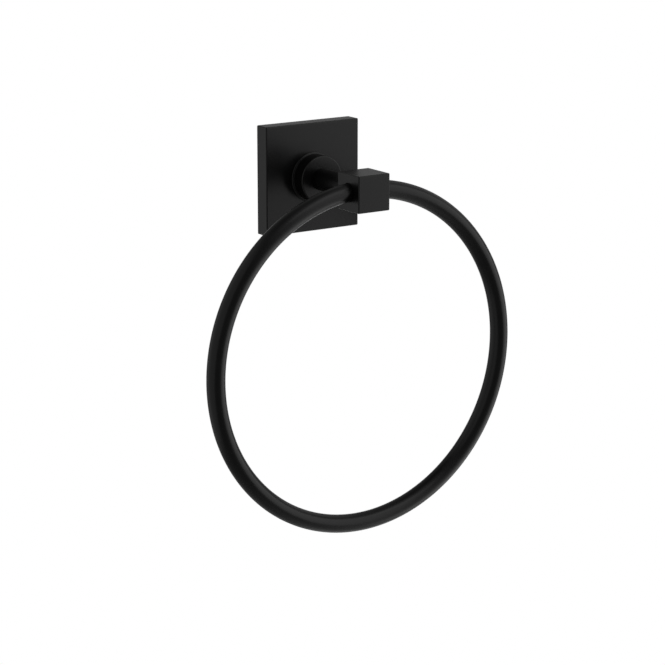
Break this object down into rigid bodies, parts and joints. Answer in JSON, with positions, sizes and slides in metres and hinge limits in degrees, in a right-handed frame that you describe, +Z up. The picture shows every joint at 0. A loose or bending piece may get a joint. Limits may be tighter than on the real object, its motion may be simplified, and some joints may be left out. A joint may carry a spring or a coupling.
{
  "type": "towel ring",
  "caption": "Wall-mounted towel ring with a square cover plate, round collar, square head and a fixed round tube ring in satin black.",
  "frame": {"origin": "middle of the cover plate's back on the wall plane, between the two wall screw holes", "axes": "+Z up, +Y into the wall, so that the arm stands out along -Y; +X to the right as seen from the room"},
  "size_m": [0.195, 0.0685, 0.2194],
  "materials": {
    "satin_black": "satin",
    "bare_zinc": "as cast",
    "plain_steel": "bright"
  },
  "bodies": {
    "root": {"wall_plate": "satin_black", "collar": "satin_black", "arm": "satin_black", "ring": "satin_black", "ring_joint_pin": "plain_steel", "ring_grub_left": "plain_steel", "ring_grub_right": "plain_steel", "arm_washer": "plain_steel", "arm_screw": "plain_steel", "plate_grub": "plain_steel", "wall_bracket": "bare_zinc"}
  },
  "joints": []
}
